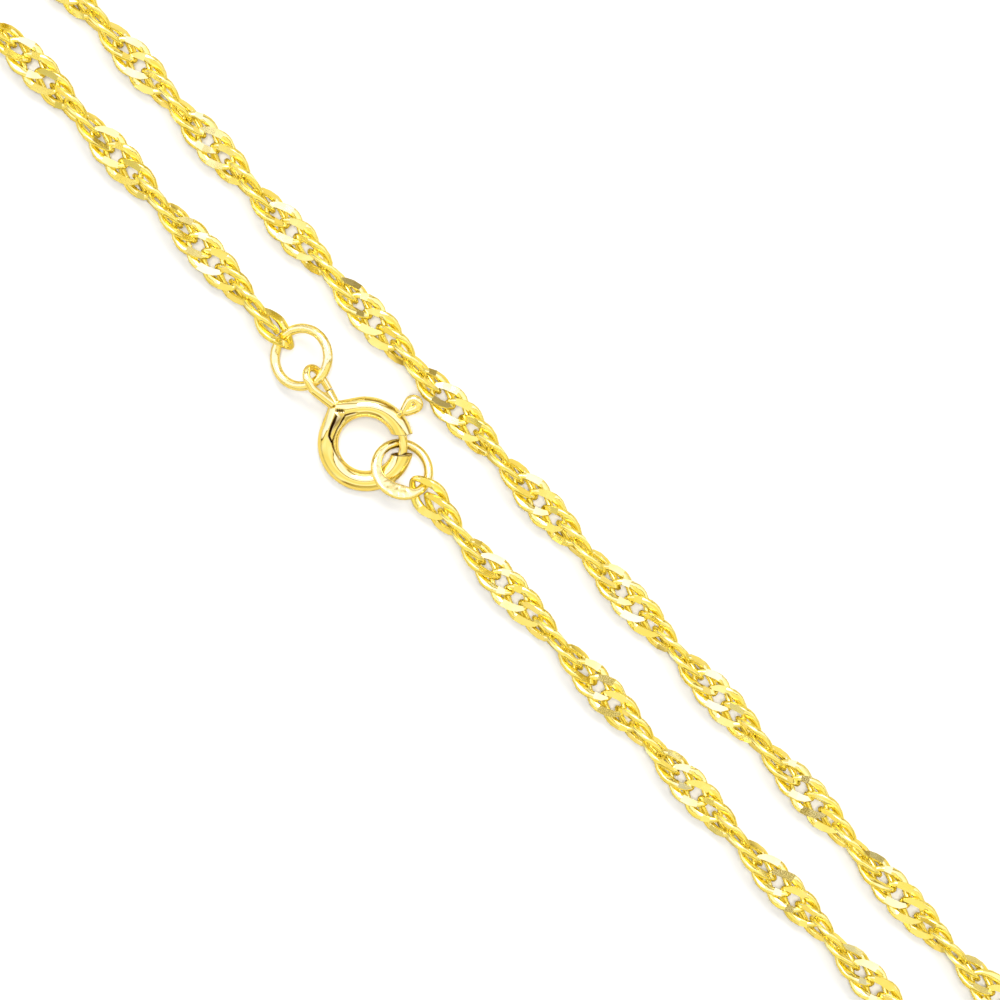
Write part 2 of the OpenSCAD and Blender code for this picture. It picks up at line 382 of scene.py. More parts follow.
def running_length(path):
    """Length along a path up to each of its points."""
    return np.concatenate([[0], np.cumsum(np.linalg.norm(np.diff(path, axis=0), axis=1))])


def points_at(path, run, at):
    """The path's points at some running lengths, on straight lines between those that it has."""
    return np.stack([np.interp(at, run, path[:, k]) for k in range(3)], 1)


def even_steps(path, step):
    """The same open path with its points evenly spaced, at most a step apart."""
    run = running_length(path)
    return points_at(path, run, np.linspace(0, run[-1], int(np.ceil(run[-1] / step)) + 1))


def softened(path, rounds):
    """The path with its corners eased: each round moves a point to (before + 2 itself + after) / 4."""
    for _ in range(rounds):
        path = np.concatenate([path[:1], (path[:-2] + 2 * path[1:-1] + path[2:]) / 4, path[-1:]])
    return path


def side_and_up(along):
    """Side and upper direction for each heading, the upper one as near to upward as can be."""
    up = unit(UPWARD - along[:, 2:] * along)
    return np.cross(along, up), up


def path_frame(path, closed=False):
    """Side and upper direction at each point of a path, which heads there as its neighbours lie."""
    if closed:
        return side_and_up(unit(np.roll(path, -1, 0) - np.roll(path, 1, 0)))
    return side_and_up(unit(np.gradient(path, axis=0)))


def quads(rows, columns, rows_close=False):
    """The four corners of each cell of a grid numbered row by row, whose every row is a closed ring."""
    i, j = np.divmod(np.arange((rows if rows_close else rows - 1) * columns), columns)
    below, right = (i + 1) % rows * columns, (j + 1) % columns
    here = i * columns
    return np.stack([here + j, below + j, below + right, here + right], 1)


def grid_uv(run, sides):
    """UV of a swept grid: the running length in millimetres along it, and the share of the way round."""
    u, v = np.meshgrid(run, np.arange(sides) / sides, indexing="ij")
    return np.stack([u, v], -1).reshape(-1, 2)


def carried_section(path, across, up, half_across, half_up, sides, squareness=2.0):
    """A section carried along a path: path + across * w |cos a|^(2/q) + up * h |sin a|^(2/q)."""
    a = round_angles(sides)
    power = np.reshape(2 / squareness, (-1, 1))
    wide = np.reshape(half_across, (-1, 1)) * signed_power(np.cos(a), power)
    high = np.reshape(half_up, (-1, 1)) * signed_power(np.sin(a), power)
    return path[:, None] + wide[..., None] * across[:, None] + high[..., None] * up[:, None]


def wire_skin(path, radius, sides, dome):
    """A round wire along an open path, closed by two caps.

    Over the last dome radii its radius shrinks as a quarter ellipse, r (s + (1 - s) sqrt(1 - (1 - t)^2))
    with t the share of that stretch and s the share of the radius that is left at the cap.
    """
    run = running_length(path)
    near_end = np.clip(np.minimum(run, run[-1] - run) / (dome * np.min(radius)), 0, 1)
    size = radius * (WIRE_END_SHARE + (1 - WIRE_END_SHARE) * np.sqrt(1 - (1 - near_end) ** 2))
    skin = carried_section(path, *path_frame(path), size, size, sides)
    rows = len(path)
    caps = [range(sides), range(rows * sides - 1, (rows - 1) * sides - 1, -1)]
    return skin.reshape(-1, 3), quads(rows, sides), grid_uv(run, sides), caps


def joined(parts):
    """Several (points, faces, uv, caps) sets as one, with their numbering carried on."""
    points, faces, uvs, caps, offset = [], [], [], [], 0
    for part_points, part_faces, part_uv, part_caps in parts:
        points.append(part_points)
        faces.append(part_faces + offset)
        uvs.append(part_uv)
        caps += [[corner + offset for corner in cap] for cap in part_caps]
        offset += len(part_points)
    return np.concatenate(points), np.concatenate(faces), np.concatenate(uvs), caps


def make_piece(name, body, material, points, faces, uv, caps=(), marks=None, crisp=None):
    """A mesh object at the origin from points in millimetres, four-cornered faces and closing caps.

    The material reads the marks, a value for each point. An edge is sharp where both ends are crisp.
    """
    mesh = bpy.data.meshes.new(name)
    mesh.from_pydata((points * MM).tolist(), [], faces.tolist() + [list(c) for c in caps])
    mesh.polygons.foreach_set("use_smooth", np.ones(len(mesh.polygons), bool))
    if crisp is not None:
        ends = np.empty(len(mesh.edges) * 2, np.int32)
        mesh.edges.foreach_get("vertices", ends)
        layer = mesh.attributes.new("sharp_edge", "BOOLEAN", "EDGE")
        layer.data.foreach_set("value", crisp[ends].reshape(-1, 2).all(1))
    for key, values in (marks or {}).items():
        layer = mesh.attributes.new(key, "FLOAT", "POINT")
        layer.data.foreach_set("value", np.asarray(values, np.float32).ravel())
    corners = np.empty(len(mesh.loops), np.int32)
    mesh.loops.foreach_get("vertex_index", corners)
    mesh.uv_layers.new(name="UVMap").data.foreach_set("uv", uv[corners].astype(np.float32).ravel())
    mesh.materials.append(material)
    mesh.update()
    piece = bpy.data.objects.new(name, mesh)
    bpy.context.scene.collection.objects.link(piece)
    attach(piece, body)
    return piece


def route_curve():
    """Cubic pieces through the route's points, each point's heading being that of its two neighbours.

    Between points p and q, d apart, with headings f and g, a share t of the way:
    (2t^3 - 3t^2 + 1) p + (t^3 - 2t^2 + t) d f + (3t^2 - 2t^3) q + (t^3 - t^2) d g
    """
    p = np.array(ROUTE, float)
    chord = np.linalg.norm(np.diff(p, axis=0), axis=1)
    heading = np.empty_like(p)
    heading[0] = (p[1] - p[0]) / chord[0]
    heading[-1] = (p[-1] - p[-2]) / chord[-1]
    heading[1:-1] = (p[2:] - p[:-2]) / (chord[:-1] + chord[1:])[:, None]
    t = np.linspace(0, 1, int(np.ceil(chord.max() / ROUTE_STEP)), endpoint=False)[None, :, None]
    size = chord[:, None, None]
    curve = (
        (2 * t**3 - 3 * t**2 + 1) * p[:-1, None]
        + (t**3 - 2 * t**2 + t) * size * heading[:-1, None]
        + (3 * t**2 - 2 * t**3) * p[1:, None]
        + (t**3 - t**2) * size * heading[1:, None]
    ).reshape(-1, 2)
    curve = np.concatenate([curve, p[-1:]])
    return np.column_stack([curve, np.full(len(curve), CHAIN_HEIGHT)])


def chain_places():
    """Middle, heading, side and twist of every link, a pitch apart along the whole route."""
    curve = np.concatenate([[JUMP_LINK], route_curve(), [CONNECTOR_LINK]])
    run = running_length(curve)
    at = np.linspace(0, run[-1], int(round(run[-1] / PITCH)) + 1)
    along = unit(points_at(curve, run, at + PITCH / 2) - points_at(curve, run, at - PITCH / 2))
    side = unit(np.cross(UPWARD, along))
    return points_at(curve, run, at), along, side, chain_twist(at, run, curve)


def chain_twist(at, run, curve):
    """Turn of every link about the route, growing evenly between the places where it is known.

    These are the three links at each end, and the places where the band stands on edge, a quarter turn
    past a half turn. From one run to the next it makes about as many half turns as usual links would.
    The last link comes three quarters of a turn past the last place on edge, and then its own angle.
    """
    first_bend = int(np.argmin(curve[:, 0]))
    last_bend = int(np.argmax(curve[:, 0]))
    half_turn = 180.0 / LINK_TURN * PITCH
    knots = [(0.0, JUMP_LINK_TURN), (2 * PITCH, JUMP_LINK_TURN + 2 * LINK_TURN)]
    turns = 0
    for places, low, high in (
        (EDGE_ON_CLASP_RUN, 0, first_bend),
        (EDGE_ON_PLAIN_RUN, first_bend, last_bend),
        (EDGE_ON_HOME_RUN, last_bend, len(curve)),
    ):
        passed = [run[low + np.abs(curve[low:high, 0] - x).argmin()] for x in places]
        turns += round((passed[0] - knots[-1][0]) / half_turn)
        knots += [(s, 90.0 + 180.0 * (turns + k)) for k, s in enumerate(passed)]
        turns += len(places) - 1
    end_turn = CONNECTOR_LINK_TURN + 180.0 * (turns + 2)
    knots.append((run[-1] - 2 * PITCH, end_turn - 2 * LINK_TURN))
    knots.append((run[-1], end_turn))
    return np.interp(at, *np.array(knots).T)


def link_path(u):
    """The middle of a link's wire: an oval whose four quarters are eased towards straight lines.

    x = L (cos u + e cos 3u) / (1 + e), y = W (sin u - e sin 3u) / (1 + e), z = -b sin 2u
    """
    e = LINK_STRAIGHTNESS
    return np.stack([
        LINK_HALF_LENGTH * (np.cos(u) + e * np.cos(3 * u)) / (1 + e),
        LINK_HALF_WIDTH * (np.sin(u) - e * np.sin(3 * u)) / (1 + e),
        -LINK_BEND * np.sin(2 * u),
    ], 1)


def link_skins(quarter, slopes):
    """One link for every row of slopes: flattened wire with both faces of the link cut flat.

    The section is eight-sided, round at the ends of the link and squarer along its sides. Its upper and
    lower corners lie where the wire meets the flat cuts z = +-(c + sx x + sy y), so that the cut faces
    are true planes. Returns the points (link, station, corner, 3), which corners are cut, and the
    running length.
    """
    u = np.radians(np.add.outer((0, 90, 180, 270), quarter).ravel())
    path = link_path(u)
    small = 1e-3
    across, up = side_and_up(unit(link_path(u + small) - link_path(u - small)))
    side = np.sin(u) ** 2
    half_wide = WIRE_AT_ENDS + (WIRE_AT_SIDES - WIRE_AT_ENDS) * side
    power = (SQUARENESS_AT_ENDS + (SQUARENESS_AT_SIDES - SQUARENESS_AT_ENDS) * side) / 2
    lean = slopes[:, :1] * path[:, 0] + slopes[:, 1:] * path[:, 1]
    thick = WIRE_THICK * up[:, 2]
    room_above = (FLAT_CUT + lean - path[:, 2]) / thick
    room_below = (FLAT_CUT + lean + path[:, 2]) / thick
    top = np.arcsin(np.clip(room_above, *CORNER_SHARES) ** power)
    bottom = np.arcsin(np.clip(room_below, *CORNER_SHARES) ** power)
    angles = np.stack([
        -bottom, -bottom / 3, top / 3, top,
        np.pi - top, np.pi - top / 3, np.pi + bottom / 3, np.pi + bottom,
    ], 2)
    wide = signed_power(np.cos(angles), (1 / power)[:, None]) * half_wide[:, None]
    high = signed_power(np.sin(angles), (1 / power)[:, None]) * WIRE_THICK
    skins = path[:, None] + wide[..., None] * across[:, None] + high[..., None] * up[:, None]
    above, below = (room < CORNER_SHARES[1] for room in (room_above, room_below))
    none = np.zeros_like(above)
    cut = np.stack([below, none, none, above, above, none, none, below], 2)
    return skins, cut, running_length(path)


def placed_links(places, quarter, seed):
    """A link at each place, turned by its twist about the route and swung a little sideways."""
    middle, along, side, twist = places
    rng = np.random.default_rng(seed)
    count = len(twist)
    skins, cut, run = link_skins(quarter, rng.normal(0, FLAT_TILT, (count, 2)))
    twist = np.radians(twist + rng.uniform(-TWIST_PLAY, TWIST_PLAY, count))[:, None]
    sway = np.radians(rng.uniform(-SWAY_PLAY, SWAY_PLAY, count))[:, None]
    up = np.cross(along, side)
    heading = unit(along + np.tan(sway) * side)
    side = unit(np.cross(up, heading))
    y_axis = np.cos(twist) * side + np.sin(twist) * up
    axes = np.stack([heading, y_axis, np.cross(heading, y_axis)], 1)
    points = np.einsum("lsmk,lkc->lsmc", skins, axes) + middle[:, None, None]
    per_link = len(run) * LINK_SIDES
    faces = quads(len(run), LINK_SIDES, rows_close=True)
    faces = (faces + (np.arange(count) * per_link)[:, None, None]).reshape(-1, 4)
    tone = np.repeat(rng.uniform(0, 1, count), per_link)
    uv = np.tile(grid_uv(run, LINK_SIDES), (count, 1))
    return points.reshape(-1, 3), faces, uv, tone, cut.ravel()


def link_piece(name, nodes, gold, places, quarter, seed):
    """A mesh piece with a link at each place, which stands for the named nodes."""
    points, faces, uv, tone, cut = placed_links(places, quarter, seed)
    piece = make_piece(
        name, "necklace", gold, points, faces, uv,
        marks={"tone": tone, "cut": cut}, crisp=cut,
    )
    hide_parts(*nodes)


def build_chain(gold):
    """The end links one by one, then the stretch in the photograph's view, then the bends outside it."""
    places = chain_places()
    total = len(places[0])
    for k in range(END_LINKS):
        for side, at, seed in (
            ("jump", k, JUMP_SIDE_SEED + k),
            ("connector", total - 1 - k, CONNECTOR_SIDE_SEED + k),
        ):
            place = [a[at:at + 1] for a in places]
            name, node = f"{side}_side_link_{k + 1}", f"{side}_link_{k + 1}"
            link_piece(name, [node], gold, place, END_QUARTER, seed)
    inner = [a[END_LINKS:total - END_LINKS] for a in places]
    near = np.abs(inner[0][:, 0] - VIEW_MIDDLE[0]) < NEAR_VIEW * VIEW_WIDTH
    for name, picked, quarter, seed in (
        ("chain_straight_links", near, VIEW_QUARTER, VIEW_SEED),
        ("chain_bend_links", ~near, BEND_QUARTER, BEND_SEED),
    ):
        link_piece(name, ["chain"], gold, [a[picked] for a in inner], quarter, seed)


def ring_skin(ring, sides, half_across, half_up, shift, squareness=2.0):
    """A closed wire ring about its own middle, its section changing with the angle round it.

    The wire runs along (r + shift) (cos a, sin a, 0). Returns its skin, that path and its length so far.
    """
    a = round_angles(len(half_across))
    outward = level(a)
    path = outward * (ring["radius"] + shift)[:, None]
    up = np.broadcast_to(UPWARD, path.shape)
    skin = carried_section(path, outward, up, half_across, half_up, sides, squareness)
    return skin, path, a * ring["radius"]


def build_jump_ring(gold):
    """A round wire ring whose wire has dents of depth d (e + worn) |waves|, worn on one side."""
    count, sides = JUMP_RING_MESH
    a = round_angles(count)[:, None]
    half = np.full(count, JUMP_RING["wire"] / 2)
    skin, path, run = ring_skin(JUMP_RING, sides, half, half, np.zeros(count))
    worn = np.clip(np.cos(a - np.radians(JUMP_RING_WORN_WAY)), 0, 1)
    waves = wave_sum(DENT_RATES[0] * a, DENT_RATES[1] * round_angles(sides), DENT_SEED)
    dent = DENT_DEPTH * waves * (DENT_ELSEWHERE + worn)
    skin = path[:, None] + (skin - path[:, None]) * (1 - np.abs(dent) / half[0])[..., None]
    points = tipped(skin.reshape(-1, 3), JUMP_RING["slope"], JUMP_RING["middle"])
    faces = quads(count, sides, rows_close=True)
    piece = make_piece(
        "worn_jump_ring", "necklace", gold, points, faces, grid_uv(run, sides),
        marks={"hammered": np.repeat(JUMP_RING_WEAR * worn, sides)},
    )
    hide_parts("jump_ring")


def build_connector_ring(gold):
    """A wire ring hammered flat over one stretch, where its section goes from round to a wide thin pad.

    The pad grows inwards, so its outer edge keeps the ring's radius. Its two faces are sunk by |waves|.
    """
    count, sides = CONNECTOR_RING_MESH
    degrees = np.arange(count) * 360 / count
    pad = np.interp((degrees - PAD_START) % 360, PAD_WAYS, PAD_SHARES)
    window = 2 * PAD_EASING + 1
    pad = np.concatenate([pad[-PAD_EASING:], pad, pad[:PAD_EASING]])
    pad = np.convolve(pad, np.ones(window) / window, "valid")
    round_half = CONNECTOR_RING["wire"] / 2
    half_across = round_half + (PAD_WIDTH / 2 - round_half) * pad
    half_up = round_half + (PAD_THICK / 2 - round_half) * pad
    squareness = 2 + PAD_SQUARENESS * pad
    skin, _, run = ring_skin(
        CONNECTOR_RING, sides, half_across, half_up, round_half - half_across, squareness
    )
    a = np.radians(degrees)[:, None]
    waves = wave_sum(HAMMER_RATES[0] * a, HAMMER_RATES[1] * round_angles(sides), HAMMER_SEED)
    skin[..., 2] -= HAMMER_DEPTH * np.abs(waves * pad[:, None]) * np.sign(skin[..., 2])
    points = tipped(skin.reshape(-1, 3), CONNECTOR_RING["slope"], CONNECTOR_RING["middle"])
    faces = quads(count, sides, rows_close=True)
    piece = make_piece(
        "hammered_connector_ring", "necklace", gold, points, faces, grid_uv(run, sides),
        marks={"hammered": np.repeat(pad, sides)},
    )
    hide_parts("connector_ring")


def tube_grid():
    """Angles in radians of the tube's grid, round the clasp and round the section.

    Both faces of the mouth lie in planes parallel to the mouth's middle, so each line of the section
    starts and ends asin(half mouth / distance from the clasp's middle) from there.
    """
    rows, sides = TUBE_MESH
    section = np.interp(np.arange(sides) / sides, *COLUMN_KNOTS) * 2 * np.pi
    share = np.interp(np.linspace(0, 1, rows), *ROW_KNOTS)[:, None]
    end = np.arcsin(MOUTH_HALF / (CLASP_RADIUS + TUBE_RADIUS * np.cos(section)))
    return np.radians(MOUTH_DIR) + end + share * (2 * np.pi - 2 * end), section


def pinched_section(angle, section):
    """How far outward and how high the tube's skin lies from the middle of its section.

    The section is round, but near the corner its outer half reaches out to the two straight flanks that
    meet there, at outer radius / cos(angle from the flank's foot), and it is pinched thinner.
    """
    from_corner = (np.degrees(angle) - CORNER_DIR + 180) % 360 - 180
    outer = CLASP_RADIUS + TUBE_RADIUS
    flank = np.degrees(np.arccos(outer / CORNER_RADIUS))
    near = np.clip(1 - np.abs(from_corner) / flank, 0, 1)
    hull = outer / np.cos(np.radians(flank * near))
    c = np.cos(section)
    radial = np.where(c > 0, hull - CLASP_RADIUS, TUBE_RADIUS) * c
    half_thick = TUBE_RADIUS + (CORNER_HALF_THICK - TUBE_RADIUS) * near ** CORNER_PINCH
    return radial, half_thick * np.sin(section)


def clasp_points(angle, radial, height):
    """Points at an angle round the clasp, this far outward from its middle line and this high."""
    reach = CLASP_RADIUS + radial
    return np.stack([reach * np.cos(angle), reach * np.sin(angle), height], -1)


def pressed_lines(way, place):
    """How deep the fold lines lie: a bell across each line, from its listed depths along it."""
    depth = np.zeros(np.broadcast(way, place).shape)
    for seam in SEAMS:
        line = np.interp(way, seam["ways"], seam["places"])
        deep = np.interp(way, seam["ways"], seam["depths"], left=0, right=0)
        off = np.radians(place - line) * TUBE_RADIUS
        depth = depth + deep * np.exp(-(off / seam["width"]) ** 2)
    return depth


def crimp_marks(x, y):
    """Depth of the crimping teeth and of the pit under the eye, on the upper side of the clasp.

    The teeth are a cosine along a row with steep ends, and the pit is a bell about its middle.
    """
    turn = np.radians(VIEW_TURN)
    dx, dy = x - CRIMP_MIDDLE[0], y - CRIMP_MIDDLE[1]
    along = dx * np.cos(turn) + dy * np.sin(turn)
    across = dy * np.cos(turn) - dx * np.sin(turn)
    window = np.exp(-(2 * along / CRIMP_SIZE[0]) ** 8 - (2 * across / CRIMP_SIZE[1]) ** 4)
    tooth = 1 - CRIMP_TEETH_SHARE + CRIMP_TEETH_SHARE * np.cos(2 * np.pi * along / CRIMP_PITCH)
    from_pit = np.hypot(x - ROOT_PIT[0], y - ROOT_PIT[1])
    return CRIMP_DEPTH * window * tooth + ROOT_PIT_DEPTH * np.exp(-(from_pit / ROOT_PIT_RADIUS) ** 2)


def fold_shade_at(way, place):
    """How much painted shade lies about the fold patch's middle: a bell both ways."""
    way_off = (way - FOLD_SHADE["way"]) / FOLD_SHADE["half_way"]
    place_off = (place - FOLD_SHADE["place"]) / FOLD_SHADE["half_place"]
    return FOLD_SHADE["strength"] * np.exp(-way_off**2 - place_off**2)


def slot_cells(way, place):
    """True for the cells of the grid in the lever's slot, which runs back from one face of the mouth."""
    middle_way = (way[:-1] + way[1:]) / 2
    from_slot = np.abs((place - SLOT_RISE + 180) % 360 - 180)
    furthest = np.maximum(from_slot, np.roll(from_slot, -1))
    slot_half = np.degrees(np.arcsin(SLOT_HALF / TUBE_RADIUS))
    return (middle_way - MOUTH_DIR < SLOT_END) & (furthest < slot_half)


def clasp_tube():
    """The clasp's hollow tube from one face of the mouth to the other.

    Returns its outer and inner skin on one grid, the cells that aren't in the slot, and how much the
    outer skin is darkened: painted shade with some dirt in its hollows, painted shade by the fold and on
    the mouth's rims.
    """
    angle, section = tube_grid()
    way, place = np.degrees(angle), np.degrees(section)
    radial, height = pinched_section(angle, section)
    c, s = np.cos(section), np.sin(section)
    plain = clasp_points(angle, radial, height)
    sunk = pressed_lines(way, place)
    sunk_down = crimp_marks(plain[..., 0], plain[..., 1]) * (s > 0)
    outside = clasp_points(angle, radial - sunk * c, height - sunk * s - sunk_down)
    inside = clasp_points(angle, BORE_SHARE * radial, BORE_SHARE * height - sunk_down)
    # Painted shade with some dirt in the pressed lines, crimp teeth and pit, plus the painted shade
    # patch by the fold
    tube_shade_and_dirt = np.clip((sunk + sunk_down) / HOLLOW_SHADE_AND_DIRT_DEPTH + fold_shade_at(way, place), 0, 1)
    # Painted shade along the mouth's sawn rims
    tube_shade_and_dirt[[0, -1]] = RIM_SHADE
    return outside, inside, ~slot_cells(way, place), tube_shade_and_dirt


def shell_faces(keep):
    """Faces of a double skin on one grid: kept cells outside, the same cells turned over inside, and a
    wall wherever a kept cell borders a left-out cell or an end of the grid."""
    rows, sides = keep.shape[0] + 1, keep.shape[1]
    count = rows * sides
    cells = quads(rows, sides)[keep.ravel()]
    faces = [cells[:, ::-1], cells + count]
    padded = np.zeros((rows + 1, sides), bool)
    padded[1:-1] = keep
    left = np.roll(keep, 1, 1)
    for before, after, down, right, flip in (
        (padded[:-1], padded[1:], 0, 1, False),
        (padded[1:], padded[:-1], 0, 1, True),
        (left, keep, 1, 0, True),
        (keep, left, 1, 0, False),
    ):
        i, j = np.nonzero(~before & after)
        a = i * sides + j
        b = (i + down) * sides + (j + right) % sides
        wall = np.stack([a, b, b + count, a + count], 1)
        faces.append(wall[:, ::-1] if flip else wall)
    return np.concatenate(faces)


def eye_paths():
    """Middles of the eye's three wires: the hook, the stub of its cut strand, and the solder between.

    The hook goes up its cut strand, round the bow and down to its root. The bow is half a circle,
    (bend + h cos a) along + h sin a across.
    """
    turn, roll = np.radians(EYE["turn"]), np.radians(EYE["roll"])
    along = level(turn)
    across = np.array([-np.sin(turn) * np.cos(roll), np.cos(turn) * np.cos(roll), np.sin(roll)])
    middle, half = np.array(EYE["middle"]), EYE["half_width"]
    a = np.linspace(-np.pi / 2, np.pi / 2, EYE_BOW_POINTS)[:, None]
    bow = middle + ((EYE["bend_at"] + half * np.cos(a)) * along + half * np.sin(a) * across)
    cut_end = middle + EYE_CUT_AT * along - half * across
    knee = middle + EYE_KNEE_AT * along + half * across
    stub_end = middle + EYE_STUB_AT * along - EYE_STUB_SIDE * half * across
    solder_end = middle + EYE_SOLDER_AT * along - EYE_SOLDER_SIDE * half * across
    hook = softened(even_steps(np.array([cut_end, *bow, knee, EYE_ROOT]), EYE_STEP), EYE_EASING)
    stub = even_steps(np.array([EYE_STUB_ROOT, stub_end]), EYE_STEP)
    solder = even_steps(np.array([EYE_STUB_ROOT, solder_end]), EYE_STEP)
    return hook, stub, solder


def eye_wires():
    """The eye's solder, hook and stub as wires, and the painted shade on each: black where it was sawn
    off.
    """
    hook_path, stub_path, solder_path = eye_paths()
    hook_share = np.linspace(0, 1, len(hook_path))
    hook_wire = np.interp(hook_share, EYE_STRAND_FROM, (EYE_WIRE, EYE_STRAND_WIRE))
    solder_wire = np.linspace(*EYE_SOLDER_WIRE, len(solder_path))
    solder = wire_skin(solder_path, solder_wire / 2, WIRE_SIDES, ROUND_END)
    hook = wire_skin(hook_path, hook_wire / 2, WIRE_SIDES, SAWN_END)
    stub = wire_skin(stub_path, EYE_STRAND_WIRE / 2, WIRE_SIDES, SAWN_END)
    solder_shade, hook_shade, stub_shade = (np.zeros(len(part[0])) for part in (solder, hook, stub))
    # Painted shade: black over the sawn ends
    hook_shade[:CUT_RINGS * WIRE_SIDES] = 1
    stub_shade[-CUT_RINGS * WIRE_SIDES:] = 1
    return [solder, hook, stub], [solder_shade, hook_shade, stub_shade]


def build_clasp_body(gold):
    """Tube and eye as one soldered body."""
    outside, inside, keep, tube_shade_and_dirt = clasp_tube()
    rows, sides = TUBE_MESH
    tube_points = np.concatenate([outside.reshape(-1, 3), inside.reshape(-1, 3)])
    run = np.linspace(0, 2 * np.pi * CLASP_RADIUS, rows)
    tube = (tube_points, shell_faces(keep), np.tile(grid_uv(run, sides), (2, 1)), [])
    wires, wires_shade = eye_wires()
    points, faces, uv, caps = joined([tube, *wires])
    points = tipped(points, CLASP["slope"], CLASP["middle"])
    # Painted shade: the whole bore is darkened, and so are the eye wires' sawn ends
    shade_and_dirt = np.concatenate([tube_shade_and_dirt.ravel(), np.full(rows * sides, BORE_SHADE), *wires_shade])
    piece = make_piece(
        "spring_ring_body", "necklace", gold, points, faces, uv, caps, {"shade_and_dirt": shade_and_dirt}
    )
    piece.data.set_sharp_from_angle(angle=np.radians(CLASP_SHARP_ANGLE))
    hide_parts("clasp_body")


def lever_loop_path():
    """A teardrop in the clasp's plane: a circle whose inner side is drawn out towards the neck.

    With tip = max(-cos a, 0)^2 it is r cos a - t tip outward and r sin a (1 - n tip) sideways.
    """
    outward = level(np.radians(LEVER_LOOP_DIR))
    sideways = np.cross(UPWARD, outward)
    a = np.linspace(0, 2 * np.pi, LEVER_LOOP_POINTS, endpoint=False)[:, None]
    tip = np.clip(-np.cos(a), 0, 1) ** 2
    middle = LEVER_LOOP_AT * outward + LEVER_LOOP_Z * UPWARD
    along = LEVER_LOOP_RADIUS * np.cos(a) - LEVER_LOOP_TIP * tip
    side = LEVER_LOOP_RADIUS * np.sin(a) * (1 - LEVER_LOOP_NARROWING * tip)
    return middle + along * outward + side * sideways


def build_clasp_trigger(gold):
    """The tongue in the tube, the neck that comes out through the slot, and the looped thumb lever."""
    a = np.radians(MOUTH_DIR + np.linspace(TONGUE_FROM, TONGUE_TO, TONGUE_POINTS))
    tongue = wire_skin(CLASP_RADIUS * level(a), TONGUE_RADIUS, WIRE_SIDES, ROUND_END)
    loop_path = lever_loop_path()
    half = LEVER_WIRE / 2
    loop_skin = carried_section(loop_path, *path_frame(loop_path, closed=True), half, half, LEVER_SIDES)
    loop_faces = quads(len(loop_path), LEVER_SIDES, rows_close=True)
    loop = (loop_skin.reshape(-1, 3), loop_faces, grid_uv(running_length(loop_path), LEVER_SIDES), [])
    foot = CLASP_RADIUS * level(np.radians(LEVER_DIR))
    head = loop_path[len(loop_path) // 2]
    neck = wire_skin(even_steps(np.array([foot, head]), NECK_STEP), NECK_WIRE / 2, LEVER_SIDES, NECK_END)
    points, faces, uv, caps = joined([tongue, neck, loop])
    points = tipped(points, CLASP["slope"], CLASP["middle"])
    piece = make_piece("looped_trigger", "trigger", gold, points, faces, uv, caps)
    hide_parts("clasp_trigger")


def give(tree, socket, value):
    """Feed an input of a node: another socket is linked to it, and a plain value is set."""
    if isinstance(value, bpy.types.NodeSocket):
        tree.links.new(value, socket)
    else:
        socket.default_value = value


def add_node(tree, kind, settings=None, **inputs):
    """A node of a kind with plain settings. Its inputs are fed by name, with underscores for gaps."""
    node = tree.nodes.new(kind)
    for name, value in (settings or {}).items():
        setattr(node, name, value)
    for name, value in inputs.items():
        give(tree, node.inputs[name.replace("_", " ")], value)
    return node


def maths(tree, operation, *values):
    """What a Math node makes of two or three values."""
    node = add_node(tree, "ShaderNodeMath", {"operation": operation})
    for socket, value in zip(node.inputs, values):
        give(tree, socket, value)
    return node.outputs["Value"]


def mixed(tree, factor, first, second, blend="MIX"):
    """The colour that lies a factor of the way from the first to the second, or to their blend."""
    settings = {"data_type": "RGBA", "blend_type": blend}
    return add_node(tree, "ShaderNodeMix", settings, Factor=factor, A=first, B=second).outputs["Result"]


def add_metal_sockets(group):
    """The named inputs and outputs of the shared finish."""
    for name, kind, value in (
        ("Bright", "NodeSocketColor", (1, 1, 1, 1)),
        ("Deep", "NodeSocketColor", (1, 1, 1, 1)),
        ("Patches", "NodeSocketFloat", 900.0),
        ("Lines", "NodeSocketFloat", 14.0),
        ("Dullness", "NodeSocketFloat", 0.1),
        ("Polish_and_sheen", "NodeSocketFloat", 1.0),
        ("Shade_and_dirt", "NodeSocketFloat", 0.0),
        ("Hammered", "NodeSocketFloat", 0.0),
        ("Tone", "NodeSocketFloat", 0.5),
    ):
        group.interface.new_socket(name, in_out="INPUT", socket_type=kind).default_value = value
    for name, kind in (
        ("Colour", "NodeSocketColor"),
        ("Roughness", "NodeSocketFloat"),
        ("Height", "NodeSocketFloat"),
    ):
        group.interface.new_socket(name, in_out="OUTPUT", socket_type=kind)


